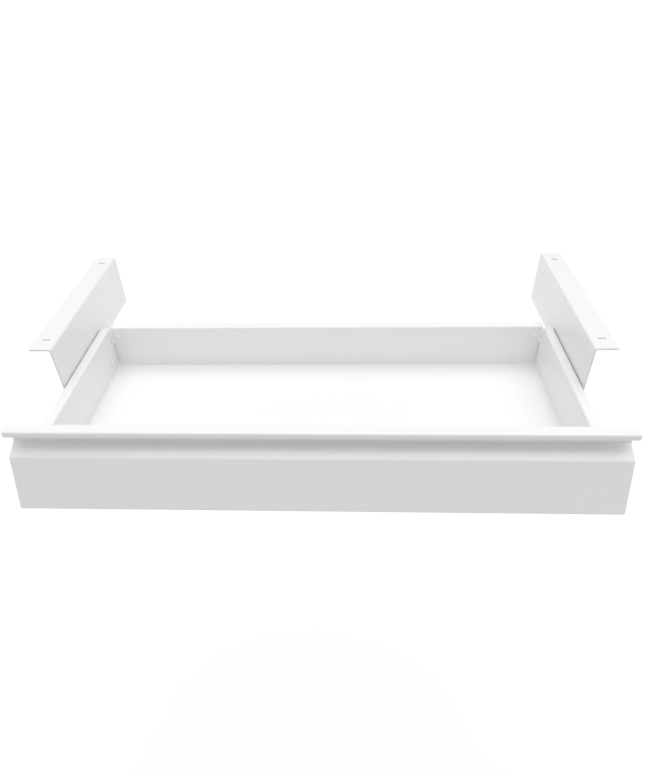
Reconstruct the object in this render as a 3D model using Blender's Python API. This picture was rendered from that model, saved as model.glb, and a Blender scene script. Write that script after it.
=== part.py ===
"""Under desk drawer: a folded steel tray on two short ball slides, hung from two angle rails.

The origin is midway between the rails, on the plane of the desk's underside.
+X is to the user's right, -Y is towards the user and +Z is up. Sizes are in metres.
The drawer is modelled partly pulled out; its slides run along Y.
"""
import math

import bmesh
import bpy
from mathutils import Vector

# ---------------------------------------------------------------- driving sizes
GAP = 0.0003                   # clearance between pieces that touch

PANEL_WIDTH = 0.610            # overall width of the front panel
PANEL_OVERHANG = 0.0308        # front panel beyond the tray's side wall, each side
SHEET = 0.0012                 # tray, back wall and front panel sheet
SHEET_BEND = 0.0010            # inside bend radius of that sheet
FLOOR_BEND = 0.0040            # wider bends where the side walls rise from the floor

LIP_TOP_DROP = 0.0307          # desk underside down to the top of the pull lip
LIP_DEPTH = 0.0132             # top of the lip, front to back
LIP_TURN_DOWN = 0.0064         # height of the lip's turned-down front edge
LIP_SETBACK = 0.0049           # lip's front edge behind the top of the face
PULL_HEIGHT = 0.0292           # top of the face up to the top of the lip
LEDGE_RISE = 0.0085            # ledge under the lip, from the face up to the recess back
FACE_HEIGHT = 0.0580           # height of the sloping face
FACE_LEAN = 0.0180             # how far the face's foot stands in front of its top
FOOT_RETURN = 0.0170           # sheet turned back under the face
PANEL_SCREW_DROP = 0.0140      # top of the lip down to the panel screws
PANEL_SCREW_SPREAD = (0.070, 0.215)   # panel screws, each side of the middle
END_PLATE_MARGIN = 0.0010      # end plate inside the outline of the folded face

RIM_DROP = 0.0502              # desk underside down to the tray's rim
TRAY_HEIGHT = 0.0584           # rim down to the underside of the floor
RIM_WIDTH = 0.0106             # rim turned outwards, from the wall's inner face
BACK_RIM_WIDTH = 0.0103        # back wall's rim, turned backwards
BACK_SEAM = 0.0015             # open seam between the tray and its back wall
UPSTAND_DROP = 0.0060          # top of the lip down to the top of the tray's front wall

RAIL_LENGTH = 0.219
RAIL_HEIGHT = 0.067
RAIL_FLANGE = 0.0245           # flange under the desk, from the web's inner face
RAIL_SHEET = 0.0020
RAIL_BEND = 0.0005
RAIL_CORNER = 0.0080           # rounded rear outer corner of the flange
RAIL_SLOT_LENGTH = 0.0090      # slots for the wood screws, along X
RAIL_SLOT_WIDTH = 0.0038
RAIL_SLOT_INSET = 0.0123       # slot centre from the web's inner face
RAIL_SLOT_FROM_END = 0.0182

PULLED_OUT = 0.081             # how far the drawer is open as modelled
CLOSED_GAP = 0.0023            # front panel to the rails when shut
BACK_CLEARANCE = 0.0078        # back rim to the rails' rear ends when shut

SLIDE_THICKNESS = 0.0100
SLIDE_HEIGHT = 0.0170
SLIDE_SHEET = 0.0010
SLIDE_BELOW_RIM = 0.0006       # rim's underside to the top of the slide
OUTER_LENGTH = 0.110           # fixed member, shorter than the moving one
OUTER_INSET = 0.0080           # fixed member's front end behind the rail's
INNER_INSET = 0.0120           # moving member's rear end in front of the back rim's
OUTER_HOOK = 0.0010            # lips of the outer member that hold the balls
OUTER_CLEARANCE = 0.0015       # hooks of the fixed member clear of the tray
INNER_HALF_HEIGHT = 0.0039
INNER_CLEARANCE = 0.0030       # moving member's edges clear of the rail side
BALL_RADIUS = 0.0015
BALL_PITCH = 0.0080
BALLS_PER_ROW = 4
CAGE_SHEET = 0.0008
CAGE_END = 0.0050              # cage beyond its last balls
CAGE_LEAD = 0.0040             # cage in front of the fixed member's middle
CAGE_BEND = 0.0003
STRIP_BEND = 0.0006            # inside bend of the moving member
HOOK_BEND = 0.0003             # inside bends of the fixed member
BALL_FROM_HOOK = 0.0028        # hook's tip to the middle of the balls
END_CAP_LENGTH = 0.0050        # cap on the moving member's front end
END_CAP_CORNER = 0.0012

SCREW_RADIUS = 0.0020
SCREW_HEAD_RADIUS = 0.0038
SCREW_HEAD_HEIGHT = 0.0022
SCREW_RIM_SHARE = 0.45         # part of the head's height that is its straight rim
SCREW_TIP = 0.0004             # chamfer at the shank's end
RIVET_RADIUS = 0.0016
RIVET_HEAD_RADIUS = 0.0028
RIVET_HEAD_HEIGHT = 0.0008
RIVET_SHOULDER = 0.8           # share of the head's radius and height at its shoulder
FIT = 0.0003                   # shank in its hole, radially
BLIND_DEPTH = 0.0008           # blind holes in the back of the panel and outside of the tray
CORNER_RIVET_HEAD_RADIUS = 0.0034
CORNER_RIVET_HEAD_HEIGHT = 0.0014
FIXINGS_FROM_END = 0.0150      # first and last slide fixing from the member's ends

TAB_WIDTH = 0.0150             # tray's corner tabs, folded onto the back wall
TAB_HEIGHT = 0.0130
TAB_DROP = 0.0055              # rim down to the tab's top
TAB_CORNER = 0.0040
TAB_ROOT = 0.0060              # how far the tab's root reaches along the side wall
EAR_LENGTH = 0.0310            # back wall's ears, folded forward outside the side walls
EAR_HEIGHT = 0.0320
EAR_DROP = 0.0233              # rim down to the ear's top
EAR_SCREW_FROM_BACK = 0.0215
EAR_OVERLAP = 0.0100           # how far an ear's root lies within the wall
STOP_RADIUS = 0.0040
STOP_THICKNESS = 0.0015
STOP_DROP = 0.0120             # top of the lip down to the stop's centre
STOP_EDGE = 0.0004

# ---------------------------------------------------------------- places worked out from them
wall_outer = PANEL_WIDTH / 2 - PANEL_OVERHANG
wall_inner = wall_outer - SHEET
rim_outer = wall_inner + RIM_WIDTH
slide_face = wall_outer + GAP                     # tray side of the slide
web_inner = slide_face + SLIDE_THICKNESS + GAP    # drawer side of the rail's web
web_outer = web_inner + RAIL_SHEET
rail_outer = web_inner + RAIL_FLANGE

rail_front = -RAIL_LENGTH / 2
rail_back = RAIL_LENGTH / 2
panel_back_y = rail_front - CLOSED_GAP - PULLED_OUT
recess_y = panel_back_y - SHEET
lip_front = panel_back_y - LIP_DEPTH
face_top_y = lip_front - LIP_SETBACK
upstand_front = panel_back_y + GAP
upstand_back = upstand_front + SHEET
back_rim_end = rail_back - BACK_CLEARANCE - PULLED_OUT
back_inner = back_rim_end - BACK_RIM_WIDTH
tray_end = back_inner - BACK_SEAM
tab_back = back_inner - GAP

lip_top = -LIP_TOP_DROP
face_top_z = lip_top - PULL_HEIGHT
face_foot_z = face_top_z - FACE_HEIGHT
face_foot_y = face_top_y - FACE_LEAN
rim_top = -RIM_DROP
floor_under = rim_top - TRAY_HEIGHT
floor_top = floor_under + SHEET
upstand_top = lip_top - UPSTAND_DROP
slide_mid = rim_top - SHEET - SLIDE_BELOW_RIM - SLIDE_HEIGHT / 2

outer_start = rail_front + OUTER_INSET
outer_end = outer_start + OUTER_LENGTH
inner_start = outer_start - PULLED_OUT
inner_end = back_rim_end - INNER_INSET
outer_reach = SLIDE_THICKNESS - OUTER_CLEARANCE
inner_reach = SLIDE_THICKNESS - INNER_CLEARANCE
cage_mid = (outer_start + outer_end) / 2 - CAGE_LEAD
ball_z = (INNER_HALF_HEIGHT + SLIDE_HEIGHT / 2 - SLIDE_SHEET) / 2
ball_u = OUTER_CLEARANCE + OUTER_HOOK + GAP + BALL_FROM_HOOK


# ---------------------------------------------------------------- materials
def paint(name, colour, roughness, metallic):
    material = bpy.data.materials.new(name)
    material.use_nodes = True
    shader = material.node_tree.nodes["Principled BSDF"]
    shader.inputs["Base Color"].default_value = (*colour, 1.0)
    shader.inputs["Roughness"].default_value = roughness
    shader.inputs["Metallic"].default_value = metallic
    material.diffuse_color = (*colour, 1.0)
    return material


# ---------------------------------------------------------------- shapes
def add_object(name, shape, material=None):
    """Turn a bmesh into a named object with its faces pointing out."""
    bmesh.ops.recalc_face_normals(shape, faces=shape.faces[:])
    mesh = bpy.data.meshes.new(name)
    shape.to_mesh(mesh)
    shape.free()
    item = bpy.data.objects.new(name, mesh)
    bpy.context.collection.objects.link(item)
    if material:
        mesh.materials.append(material)
    return item


def smooth(item, angle=40):
    item.data.shade_smooth()
    item.data.set_sharp_from_angle(angle=math.radians(angle))
    return item


def place(axis, a, b, along):
    """A point of an outline drawn across an axis, at a distance along it."""
    if axis == "X":
        return Vector((along, a, b))
    if axis == "Y":
        return Vector((a, along, b))
    return Vector((a, b, along))


def extrude_outline(shape, outline, axis, start, end):
    """Add a closed outline, extruded from start to end along an axis."""
    corners = [shape.verts.new(place(axis, a, b, start)) for a, b in outline]
    cap = shape.faces.new(corners)
    grown = bmesh.ops.extrude_face_region(shape, geom=[cap])
    moved = [v for v in grown["geom"] if isinstance(v, bmesh.types.BMVert)]
    bmesh.ops.translate(shape, verts=moved, vec=place(axis, 0, 0, end - start))


def extruded(name, outline, axis, start, end, material=None):
    shape = bmesh.new()
    extrude_outline(shape, outline, axis, start, end)
    return add_object(name, shape, material)


def block(a0, a1, b0, b1):
    return [(a0, b0), (a1, b0), (a1, b1), (a0, b1)]


def arc(centre, radius, start, sweep, steps):
    """Points along an arc; angles in radians."""
    return [(centre[0] + radius * math.cos(start + sweep * i / steps),
             centre[1] + radius * math.sin(start + sweep * i / steps))
            for i in range(steps + 1)]


def rounded_block(a0, a1, b0, b1, radius, steps=4):
    """A rectangle with round corners."""
    quarter = math.pi / 2
    centres = [(a1 - radius, b0 + radius), (a1 - radius, b1 - radius),
               (a0 + radius, b1 - radius), (a0 + radius, b0 + radius)]
    outline = []
    for i, centre in enumerate(centres):
        outline += arc(centre, radius, (i - 1) * quarter, quarter, steps)
    return outline


def folded(path, thickness, bend, steps=4):
    """Outline of a folded sheet: one face follows the path, the metal lies to its left.

    The inside bend radius is one number, or one for each bend in turn.
    """
    near, far = [], []
    points = [Vector(p) for p in path]
    last = len(points) - 1
    bends = [bend] * (last - 1) if isinstance(bend, float) else bend
    for i, point in enumerate(points):
        if i in (0, last):
            way = (points[1] - points[0] if i == 0 else points[last] - points[last - 1]).normalized()
            near.append(point)
            far.append(point + Vector((-way.y, way.x)) * thickness)
            continue
        before = (point - points[i - 1]).normalized()
        after = (points[i + 1] - point).normalized()
        turn = math.atan2(before.x * after.y - before.y * after.x, before.dot(after))
        left = 1 if turn > 0 else -1
        inside = bends[i - 1]
        near_radius = inside + thickness if left > 0 else inside
        far_radius = near_radius - left * thickness
        normal = Vector((-before.y, before.x)) * left
        tangent = point - before * near_radius * math.tan(abs(turn) / 2)
        centre = tangent + normal * near_radius
        start = math.atan2(-normal.y, -normal.x)
        near += [Vector(p) for p in arc(centre, near_radius, start, turn, steps)]
        far += [Vector(p) for p in arc(centre, far_radius, start, turn, steps)]
    return [tuple(p) for p in near + far[::-1]]


def use_boolean(target, tool, operation):
    tool.hide_render = True
    tool.display_type = "WIRE"
    modifier = target.modifiers.new(tool.name, "BOOLEAN")
    modifier.object = tool
    modifier.operation = operation
    modifier.solver = "EXACT"


def drill(target, holes, axis, radius, depth, sides=20):
    """Cut round holes of one size through a piece; each hole is given by its centre."""
    shape = bmesh.new()
    for centre in holes:
        along = {"X": centre[0], "Y": centre[1], "Z": centre[2]}[axis]
        a, b = {"X": (centre[1], centre[2]), "Y": (centre[0], centre[2]),
                "Z": (centre[0], centre[1])}[axis]
        ring = arc((a, b), radius, 0, 2 * math.pi, sides)[:-1]
        extrude_outline(shape, ring, axis, along - depth / 2, along + depth / 2)
    cutter = add_object(f"{target.name}_holes_{len(target.modifiers)}", shape)
    use_boolean(target, cutter, "DIFFERENCE")


def turned(name, profile, location, direction, material, sides=20):
    """A round piece: (radius, height) points from its foot to its crown, spun about its axis."""
    shape = bmesh.new()
    rings = []
    for radius, height in profile:
        if radius == 0:
            rings.append([shape.verts.new((0, 0, height))])
            continue
        rings.append([shape.verts.new((a, b, height))
                      for a, b in arc((0, 0), radius, 0, 2 * math.pi, sides)[:-1]])
    for low, high in zip(rings, rings[1:]):
        for i in range(sides):
            j = (i + 1) % sides
            corners = [low[i % len(low)], low[j % len(low)], high[j % len(high)], high[i % len(high)]]
            shape.faces.new(list(dict.fromkeys(corners)))
    item = add_object(name, shape, material)
    item.location = location
    item.rotation_euler = Vector(direction).to_track_quat("Z", "Y").to_euler()
    return smooth(item)


def pan_screw(name, seat, direction, grip, material):
    """A pan head screw: its head stands on the seat and its shank goes back by the grip."""
    rim = SCREW_HEAD_HEIGHT * SCREW_RIM_SHARE
    dome = [(SCREW_HEAD_RADIUS * math.cos(t), rim + (SCREW_HEAD_HEIGHT - rim) * math.sin(t))
            for t in (0, 0.35, 0.7, 1.05, 1.35)]
    profile = [(0, -grip), (SCREW_RADIUS - SCREW_TIP, -grip), (SCREW_RADIUS, -grip + SCREW_TIP),
               (SCREW_RADIUS, GAP), (SCREW_HEAD_RADIUS, GAP)] + dome + [(0, SCREW_HEAD_HEIGHT)]
    return turned(name, profile, seat, direction, material)


def domed_rivet(name, seat, direction, grip, head_radius, head_height, material):
    """A rivet with a low domed head."""
    profile = [(0, -grip), (RIVET_RADIUS, -grip), (RIVET_RADIUS, GAP), (head_radius, GAP),
               (head_radius * RIVET_SHOULDER, GAP + head_height * RIVET_SHOULDER),
               (0, GAP + head_height)]
    return turned(name, profile, seat, direction, material, sides=16)


def side_name(side):
    return "left" if side < 0 else "right"


def slide_fixings(start, end):
    """Three fixings along a slide member."""
    first = start + FIXINGS_FROM_END
    last = end - FIXINGS_FROM_END
    return [first, (first + last) / 2, last]


# ---------------------------------------------------------------- rails and slides
def make_rail(side, steel):
    """An angle rail: the flange lies under the desk and the web hangs down inside it."""
    path = [(side * web_inner, -RAIL_HEIGHT), (side * web_inner, 0), (side * rail_outer, 0)]
    if side > 0:
        path = path[::-1]
    outline = folded(path, RAIL_SHEET, RAIL_BEND)
    shape = bmesh.new()
    extrude_outline(shape, outline, "Y", rail_front, rail_back)
    corner = [e for e in shape.edges
              if all(abs(v.co.x - side * rail_outer) < 1e-6 and abs(v.co.y - rail_back) < 1e-6
                     for v in e.verts)]
    bmesh.ops.bevel(shape, geom=corner, offset=RAIL_CORNER, segments=6, profile=0.5, affect="EDGES")
    rail = add_object(f"{side_name(side)}_mounting_rail", shape, steel)

    slots = bmesh.new()
    slot_x = side * (web_inner + RAIL_SLOT_INSET)
    for slot_y in (rail_front + RAIL_SLOT_FROM_END, rail_back - RAIL_SLOT_FROM_END):
        half = RAIL_SLOT_LENGTH / 2
        outline = rounded_block(slot_x - half, slot_x + half, slot_y - RAIL_SLOT_WIDTH / 2,
                                slot_y + RAIL_SLOT_WIDTH / 2, RAIL_SLOT_WIDTH / 2 - 1e-5, steps=6)
        extrude_outline(slots, outline, "Z", -2 * RAIL_SHEET, RAIL_SHEET)
    use_boolean(rail, add_object(f"{rail.name}_slots", slots), "DIFFERENCE")

    mid_web = side * (web_inner + RAIL_SHEET / 2)
    holes = [(mid_web, y, slide_mid) for y in slide_fixings(outer_start, outer_end)]
    drill(rail, holes, "X", SCREW_RADIUS + FIT, 4 * RAIL_SHEET)
    return rail


def make_outer_member(side, steel):
    """The slide's fixed channel, open towards the tray, with hooked edges round the balls."""
    back = web_inner - GAP
    half = SLIDE_HEIGHT / 2
    tip = back - outer_reach
    path = [(tip + SLIDE_SHEET, half - SLIDE_SHEET - OUTER_HOOK), (tip + SLIDE_SHEET, half - SLIDE_SHEET),
            (back - SLIDE_SHEET, half - SLIDE_SHEET), (back - SLIDE_SHEET, -half + SLIDE_SHEET),
            (tip + SLIDE_SHEET, -half + SLIDE_SHEET), (tip + SLIDE_SHEET, -half + SLIDE_SHEET + OUTER_HOOK)]
    path = [(side * x, slide_mid + z) for x, z in path]
    if side < 0:
        path = path[::-1]
    outline = folded(path, SLIDE_SHEET, HOOK_BEND, steps=3)
    member = extruded(f"{side_name(side)}_slide_outer_member", outline, "Y", outer_start, outer_end, steel)
    holes = [(side * (back - SLIDE_SHEET / 2), y, slide_mid) for y in slide_fixings(outer_start, outer_end)]
    drill(member, holes, "X", SCREW_RADIUS + FIT, 4 * SLIDE_SHEET)
    return member


def make_inner_member(side, steel):
    """The slide's moving channel, open towards the rail, riveted to the tray's wall."""
    face = slide_face
    reach = face + inner_reach
    path = [(reach, INNER_HALF_HEIGHT), (face, INNER_HALF_HEIGHT), (face, -INNER_HALF_HEIGHT),
            (reach, -INNER_HALF_HEIGHT)]
    path = [(side * x, slide_mid + z) for x, z in path]
    if side < 0:
        path = path[::-1]
    outline = folded(path, SLIDE_SHEET, STRIP_BEND, steps=3)
    member = extruded(f"{side_name(side)}_slide_inner_member", outline, "Y", inner_start, inner_end, steel)
    holes = [(side * (face + SLIDE_SHEET / 2), y, slide_mid) for y in slide_fixings(inner_start, inner_end)]
    drill(member, holes, "X", RIVET_RADIUS + FIT, 4 * SLIDE_SHEET, sides=16)
    return member


def make_ball_cage(side, steel):
    """The retainer that rolls between the members, with its two rows of balls."""
    length = (BALLS_PER_ROW - 1) * BALL_PITCH + 2 * CAGE_END
    spine = slide_face + inner_reach + 2 * GAP
    ball_x = slide_face + ball_u
    half_sheet = CAGE_SHEET / 2
    path = [(ball_x - BALL_RADIUS, ball_z - half_sheet), (spine, ball_z - half_sheet),
            (spine, -ball_z + half_sheet), (ball_x - BALL_RADIUS, -ball_z + half_sheet)]
    path = [(side * x, slide_mid + z) for x, z in path]
    if side < 0:
        path = path[::-1]
    outline = folded(path, CAGE_SHEET, CAGE_BEND, steps=2)
    cage = extruded(f"{side_name(side)}_slide_ball_cage", outline, "Y",
                    cage_mid - length / 2, cage_mid + length / 2, steel)
    balls = bmesh.new()
    for row in (-1, 1):
        for i in range(BALLS_PER_ROW):
            y = cage_mid + (i - (BALLS_PER_ROW - 1) / 2) * BALL_PITCH
            made = bmesh.ops.create_icosphere(balls, subdivisions=2, radius=BALL_RADIUS)
            bmesh.ops.translate(balls, verts=made["verts"], vec=(side * ball_x, y, slide_mid + row * ball_z))
    use_boolean(cage, add_object(f"{cage.name}_balls", balls), "UNION")
    return cage


def make_end_cap(side, plastic):
    """A cap on the moving member's front end; it meets the fixed member when the drawer is shut."""
    tip = web_inner - GAP - outer_reach
    half = SLIDE_HEIGHT / 2 - GAP
    outline = [(side * a, b) for a, b in rounded_block(slide_face, tip + inner_reach, slide_mid - half,
                                                       slide_mid + half, END_CAP_CORNER)]
    end = inner_start - GAP
    return extruded(f"{side_name(side)}_slide_end_cap", outline, "Y", end - END_CAP_LENGTH, end, plastic)


# ---------------------------------------------------------------- drawer
def panel_path():
    """The front panel's front face, from the lip's edge down to the foot."""
    under_lip = lip_top - SHEET
    inside = lip_front + SHEET
    return [(inside, lip_top - LIP_TURN_DOWN), (inside, under_lip), (recess_y, under_lip),
            (recess_y, face_top_z + LEDGE_RISE), (face_top_y, face_top_z),
            (face_foot_y, face_foot_z), (face_foot_y + FOOT_RETURN, face_foot_z)]


def panel_screw_places():
    return [side * x for side in (-1, 1) for x in PANEL_SCREW_SPREAD]


def make_front_panel(steel):
    """One sheet folded into the lip, the finger recess, the sloping face and the foot."""
    outline = folded(panel_path(), SHEET, SHEET_BEND)
    panel = extruded("front_panel", outline, "X", -PANEL_WIDTH / 2, PANEL_WIDTH / 2, steel)
    holes = [(x, panel_back_y, lip_top - PANEL_SCREW_DROP) for x in panel_screw_places()]
    drill(panel, holes, "Y", SCREW_RADIUS + FIT, 2 * BLIND_DEPTH)
    return panel


def beside(start, end, distance):
    """A line moved to its right by a distance, as a point and a direction."""
    way = (Vector(end) - Vector(start)).normalized()
    return Vector(start) + Vector((way.y, -way.x)) * distance, way


def crossing(first, second):
    """Where two lines meet."""
    (p, a), (q, b) = first, second
    along = ((q.x - p.x) * b.y - (q.y - p.y) * b.x) / (a.x * b.y - a.y * b.x)
    return tuple(p + a * along)


def make_end_plate(side, steel):
    """A plate welded behind each end of the face; it closes the hollow from the side."""
    margin = SHEET + END_PLATE_MARGIN
    recess_foot, face_top, face_foot = panel_path()[3:6]
    below_ledge = beside(face_top, recess_foot, margin)
    behind_face = beside(face_foot, face_top, margin)
    above_foot = beside((recess_y, face_foot_z), face_foot, margin)
    back = (Vector((recess_y, 0)), Vector((0, 1)))
    outline = [crossing(above_foot, behind_face), crossing(above_foot, back),
               crossing(below_ledge, back), crossing(below_ledge, behind_face)]
    ends = sorted((side * (PANEL_WIDTH / 2 - SHEET), side * PANEL_WIDTH / 2))
    return extruded(f"{side_name(side)}_panel_end_plate", outline, "X", *ends, steel)


def make_tray(steel):
    """Floor and side walls from one sheet, with outward rims, a front wall and two corner tabs."""
    path = [(-rim_outer, rim_top), (-wall_inner, rim_top), (-wall_inner, floor_top),
            (wall_inner, floor_top), (wall_inner, rim_top), (rim_outer, rim_top)]
    outline = folded(path[::-1], SHEET, [SHEET_BEND, FLOOR_BEND, FLOOR_BEND, SHEET_BEND])
    tray = extruded("drawer_tray", outline, "Y", upstand_front, tray_end, steel)

    half = wall_inner + SHEET / 2
    low = floor_under + SHEET / 2
    corner = FLOOR_BEND + SHEET / 2
    outline = (arc((-half + corner, low + corner), corner, math.pi, math.pi / 2, 4)
               + arc((half - corner, low + corner), corner, -math.pi / 2, math.pi / 2, 4)
               + [(half, upstand_top), (-half, upstand_top)])
    front = extruded("drawer_tray_front_wall", outline, "Y", upstand_front + 1e-5, upstand_back, steel)
    use_boolean(tray, front, "UNION")
    tabs = bmesh.new()
    for side in (-1, 1):
        top = rim_top - TAB_DROP
        path = [(side * (wall_inner - TAB_WIDTH), tab_back - SHEET), (side * wall_inner, tab_back - SHEET),
                (side * wall_inner, tray_end - TAB_ROOT)]
        if side > 0:
            path = path[::-1]
        folded_tab = bmesh.new()
        extrude_outline(folded_tab, folded(path[::-1], SHEET, SHEET_BEND), "Z", top - TAB_HEIGHT, top)
        free = [e for e in folded_tab.edges
                if all(abs(v.co.x - side * (wall_inner - TAB_WIDTH)) < 1e-6 for v in e.verts)
                and abs(e.verts[0].co.y - e.verts[1].co.y) > SHEET / 2]
        bmesh.ops.bevel(folded_tab, geom=free, offset=TAB_CORNER, segments=4, profile=0.5, affect="EDGES")
        pieces = bpy.data.meshes.new("tab")
        folded_tab.to_mesh(pieces)
        folded_tab.free()
        tabs.from_mesh(pieces)
        bpy.data.meshes.remove(pieces)
    use_boolean(tray, add_object("drawer_tray_corner_tabs", tabs), "UNION")

    fixings = [(side * wall_outer, y, slide_mid)
               for side in (-1, 1) for y in slide_fixings(inner_start, inner_end)]
    drill(tray, fixings, "X", RIVET_RADIUS + FIT, 2 * BLIND_DEPTH, sides=16)
    drill(tray, [ear_screw_place(side, wall_inner + SHEET / 2) for side in (-1, 1)], "X",
          SCREW_RADIUS + FIT, 4 * SHEET)
    drill(tray, [(x, upstand_front + SHEET / 2, lip_top - PANEL_SCREW_DROP) for x in panel_screw_places()],
          "Y", SCREW_RADIUS + FIT, 4 * SHEET)
    drill(tray, [tab_rivet_place(side, tab_back - SHEET / 2) for side in (-1, 1)], "Y",
          RIVET_RADIUS + FIT, 3 * SHEET, sides=16)
    return tray


def tab_rivet_place(side, y):
    return (side * (wall_inner - TAB_WIDTH / 2), y, rim_top - TAB_DROP - TAB_HEIGHT / 2)


def ear_screw_place(side, x):
    return (side * x, back_inner - EAR_SCREW_FROM_BACK, rim_top - EAR_DROP - EAR_HEIGHT / 2)


def make_back_wall(steel):
    """The back wall: a rim turned backwards and two ears folded forward outside the side walls."""
    path = [(back_inner, floor_under), (back_inner, rim_top), (back_rim_end, rim_top)]
    outline = folded(path[::-1], SHEET, SHEET_BEND)
    wall = extruded("back_wall", outline, "X", -wall_inner, wall_inner, steel)
    ears = bmesh.new()
    ear_face = wall_outer + GAP
    top = rim_top - EAR_DROP
    for side in (-1, 1):
        path = [(side * ear_face, back_inner - EAR_LENGTH), (side * ear_face, back_inner),
                (side * (wall_inner - EAR_OVERLAP), back_inner)]
        if side > 0:
            path = path[::-1]
        outline = folded(path, SHEET, GAP)
        extrude_outline(ears, outline, "Z", top - EAR_HEIGHT, top)
    use_boolean(wall, add_object("back_wall_ears", ears), "UNION")
    drill(wall, [ear_screw_place(side, ear_face + SHEET / 2) for side in (-1, 1)], "X",
          SCREW_RADIUS + FIT, 4 * SHEET)
    drill(wall, [tab_rivet_place(side, back_inner + SHEET / 2) for side in (-1, 1)], "Y",
          RIVET_RADIUS + FIT, 3 * SHEET, sides=16)
    return wall


# ---------------------------------------------------------------- fasteners and stops
def make_slide_fasteners(side, zinc):
    word = side_name(side)
    for i, y in enumerate(slide_fixings(outer_start, outer_end), 1):
        pan_screw(f"{word}_rail_screw_{i}", (side * web_outer, y, slide_mid), (side, 0, 0),
                  RAIL_SHEET + GAP + SLIDE_SHEET, zinc)
    for i, y in enumerate(slide_fixings(inner_start, inner_end), 1):
        domed_rivet(f"{word}_slide_rivet_{i}", (side * (slide_face + SLIDE_SHEET), y, slide_mid),
                    (side, 0, 0), SLIDE_SHEET + GAP + BLIND_DEPTH, RIVET_HEAD_RADIUS,
                    RIVET_HEAD_HEIGHT, zinc)


def make_corner_fasteners(side, white):
    word = side_name(side)
    pan_screw(f"{word}_back_wall_screw", ear_screw_place(side, wall_inner), (-side, 0, 0),
              2 * SHEET + GAP, white)
    domed_rivet(f"{word}_corner_rivet", tab_rivet_place(side, tab_back - SHEET), (0, -1, 0),
                2 * SHEET + GAP, CORNER_RIVET_HEAD_RADIUS, CORNER_RIVET_HEAD_HEIGHT, white)


def make_panel_screws(white):
    for i, x in enumerate(sorted(panel_screw_places()), 1):
        pan_screw(f"panel_screw_{i}", (x, upstand_back, lip_top - PANEL_SCREW_DROP), (0, 1, 0),
                  SHEET + BLIND_DEPTH, white)


def make_closing_stop(side, rubber):
    """A rubber button behind the panel that meets the front end of the rail's web."""
    profile = [(0, GAP), (STOP_RADIUS, GAP), (STOP_RADIUS, STOP_THICKNESS - STOP_EDGE),
               (STOP_RADIUS - STOP_EDGE, STOP_THICKNESS), (0, STOP_THICKNESS)]
    place_x = side * (web_inner + RAIL_SHEET / 2)
    return turned(f"{side_name(side)}_closing_stop", profile,
                  (place_x, panel_back_y, lip_top - STOP_DROP), (0, 1, 0), rubber)


def main():
    for item in list(bpy.data.objects):
        bpy.data.objects.remove(item, do_unlink=True)
    powder = paint("white_powder_coat", (0.87, 0.87, 0.87), 0.35, 0.0)
    zinc = paint("zinc_plated_steel", (0.62, 0.63, 0.65), 0.35, 1.0)
    nylon = paint("black_nylon", (0.05, 0.05, 0.052), 0.5, 0.0)
    rubber = paint("grey_rubber", (0.12, 0.12, 0.12), 0.8, 0.0)

    make_front_panel(powder)
    make_tray(powder)
    make_back_wall(powder)
    make_panel_screws(powder)
    for side in (-1, 1):
        make_end_plate(side, powder)
        make_rail(side, powder)
        make_outer_member(side, zinc)
        make_inner_member(side, zinc)
        make_ball_cage(side, zinc)
        make_end_cap(side, nylon)
        make_slide_fasteners(side, zinc)
        make_corner_fasteners(side, powder)
        make_closing_stop(side, rubber)


main()
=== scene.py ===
# %% [markdown]
# # An under desk drawer in folded steel
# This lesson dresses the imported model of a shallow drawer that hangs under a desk. The drawer is
# made of thin powder-coated sheet, folded on a press brake, and it runs on two short ball slides.
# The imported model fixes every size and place, so each visible piece is modelled over its solid.

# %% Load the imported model
import math

import bmesh
import bpy
from mathutils import Matrix, Vector


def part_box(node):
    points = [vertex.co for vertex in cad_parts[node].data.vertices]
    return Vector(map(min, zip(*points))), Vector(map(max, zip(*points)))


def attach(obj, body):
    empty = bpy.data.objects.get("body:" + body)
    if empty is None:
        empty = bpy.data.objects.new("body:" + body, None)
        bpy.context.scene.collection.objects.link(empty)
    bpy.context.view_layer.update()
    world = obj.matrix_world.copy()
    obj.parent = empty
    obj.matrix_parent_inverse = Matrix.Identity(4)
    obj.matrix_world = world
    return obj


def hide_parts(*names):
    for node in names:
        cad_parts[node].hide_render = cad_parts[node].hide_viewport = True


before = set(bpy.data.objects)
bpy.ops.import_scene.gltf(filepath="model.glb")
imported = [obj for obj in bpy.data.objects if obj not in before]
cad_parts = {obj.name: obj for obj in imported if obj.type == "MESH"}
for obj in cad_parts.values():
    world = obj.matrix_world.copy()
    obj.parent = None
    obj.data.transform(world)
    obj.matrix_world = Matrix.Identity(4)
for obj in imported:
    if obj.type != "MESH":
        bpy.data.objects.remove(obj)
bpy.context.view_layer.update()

# %% [markdown]
# ## Sizes
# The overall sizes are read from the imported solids. Only what a box can't tell is written here:
# the sheet's thickness, its bend radii, and how deep the lip and the rims are.

# %% Sizes of the sheet metal, in metres
SHEET = 0.0012
SHEET_BEND = 0.0010
FLOOR_BEND = 0.0040
RAIL_SHEET = 0.0020
RAIL_BEND = 0.0005
PAINT_EDGE = 0.00035          # how far the powder coat rounds a cut edge

LIP_DEPTH = 0.0132
LIP_TURN_DOWN = 0.0064
LIP_SETBACK = 0.0049
PULL_HEIGHT = 0.0292
LEDGE_RISE = 0.0085
FACE_LEAN = 0.0180            # how far the face's foot stands in front of its top
FOOT_RETURN = 0.0170
RIM_WIDTH = 0.0106
BACK_RIM_WIDTH = 0.0103

panel_low, panel_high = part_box("front_panel")
tray_low, tray_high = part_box("drawer_tray")
back_low, back_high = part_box("back_wall")

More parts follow.
